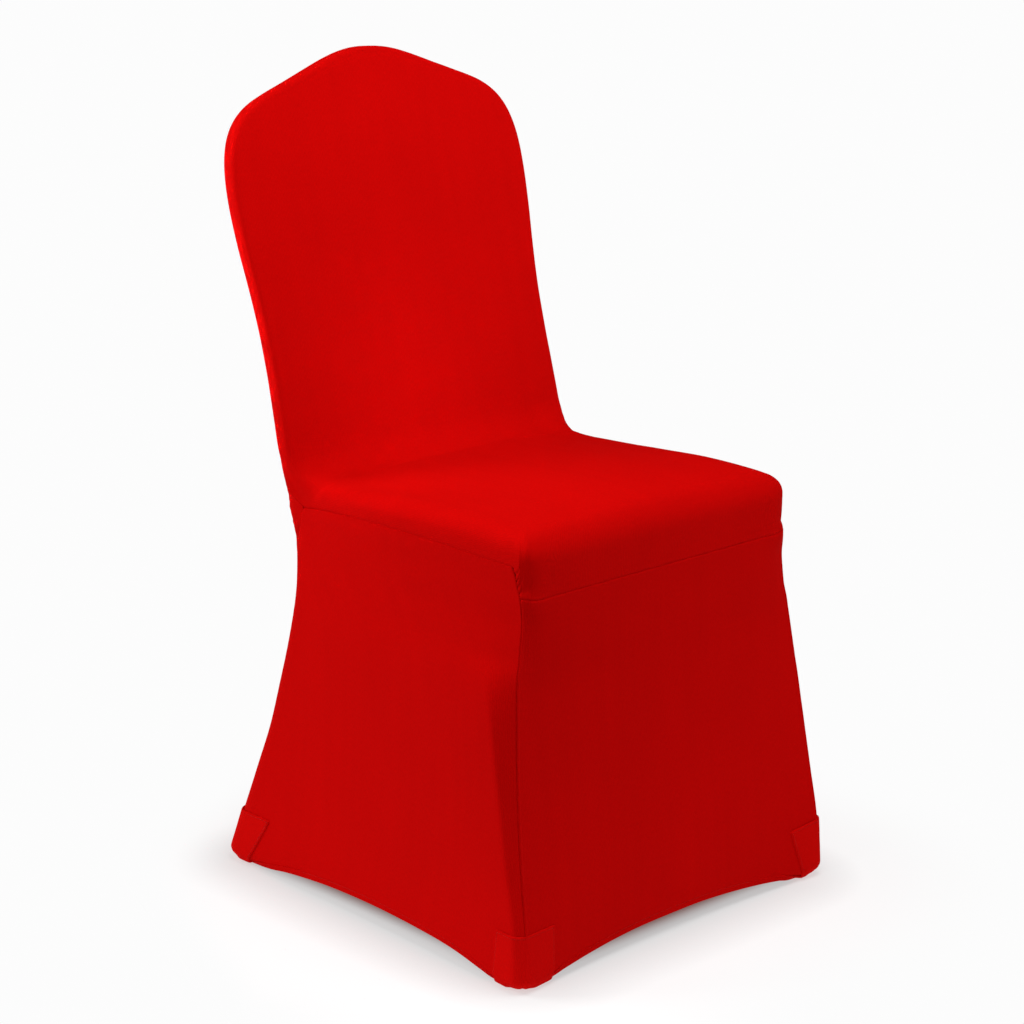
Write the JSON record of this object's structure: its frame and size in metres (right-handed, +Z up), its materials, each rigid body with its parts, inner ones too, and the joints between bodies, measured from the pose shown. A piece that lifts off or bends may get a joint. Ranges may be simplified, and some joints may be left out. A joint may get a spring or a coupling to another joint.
{
  "type": "stretch cover for a banquet dining chair",
  "caption": "Full-length red stretch-knit cover shaped to a crown-back banquet chair, with a fitted seat, flared skirts, arched hems and a cupped pocket at each foot.",
  "frame": {"origin": "on the floor, in the middle of the cover's footprint", "axes": "-Y towards the front of the chair, +X towards the left hand of a person sitting on it, +Z up"},
  "size_m": [0.4898, 0.5311, 0.9298],
  "materials": {
    "main_cloth": "matte stretch knit with a slight sheen",
    "back_cloth": "matte stretch knit with a slight sheen",
    "front_cloth": "matte stretch knit with a slight sheen",
    "side_cloth": "matte stretch knit with a slight sheen",
    "pocket_cloth": "matte stretch knit with a slight sheen"
  },
  "bodies": {
    "root": {"main_panel": "main_cloth", "back_panel": "back_cloth", "front_skirt": "front_cloth", "side_skirt_left": "side_cloth", "side_skirt_right": "side_cloth", "foot_pocket_front_left": "pocket_cloth", "foot_pocket_front_right": "pocket_cloth", "foot_pocket_rear_left": "pocket_cloth", "foot_pocket_rear_right": "pocket_cloth"}
  },
  "joints": []
}
